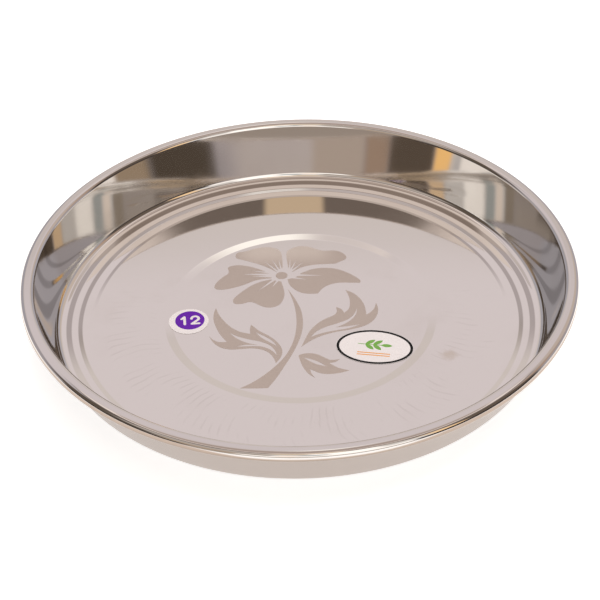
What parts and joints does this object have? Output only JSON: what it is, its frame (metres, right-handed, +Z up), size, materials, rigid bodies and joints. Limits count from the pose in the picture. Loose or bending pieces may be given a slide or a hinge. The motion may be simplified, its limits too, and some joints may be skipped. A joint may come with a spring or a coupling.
{
  "type": "thali plate",
  "caption": "Round pressed steel thali plate with a rolled rim, flared wall, stepped floor and a sunk medallion with a frosted flower, for serving a meal.",
  "frame": {"origin": "middle of the medallion's underside, on the surface that the plate stands on", "axes": "+Z up out of the plate, -Y towards the viewer in the picture, +X to the viewer's right"},
  "size_m": [0.3048, 0.3048, 0.0353],
  "materials": {
    "polished_steel": "mirror-polished stainless steel",
    "frosted_steel": "etched satin",
    "label_glue": "clear glue",
    "label_film": "smooth white film",
    "purple_ink": "printed",
    "black_ink": "printed",
    "green_ink": "printed",
    "orange_ink": "printed"
  },
  "bodies": {
    "root": {"dish": "polished_steel", "etched_flower": "frosted_steel", "size_label_glue": "label_glue", "size_label_film": "label_film", "size_label_print": "purple_ink", "oval_label_glue": "label_glue", "oval_label_film": "label_film", "oval_label_border": "black_ink", "oval_label_sprig": "green_ink", "oval_label_rules": "orange_ink"}
  },
  "joints": []
}
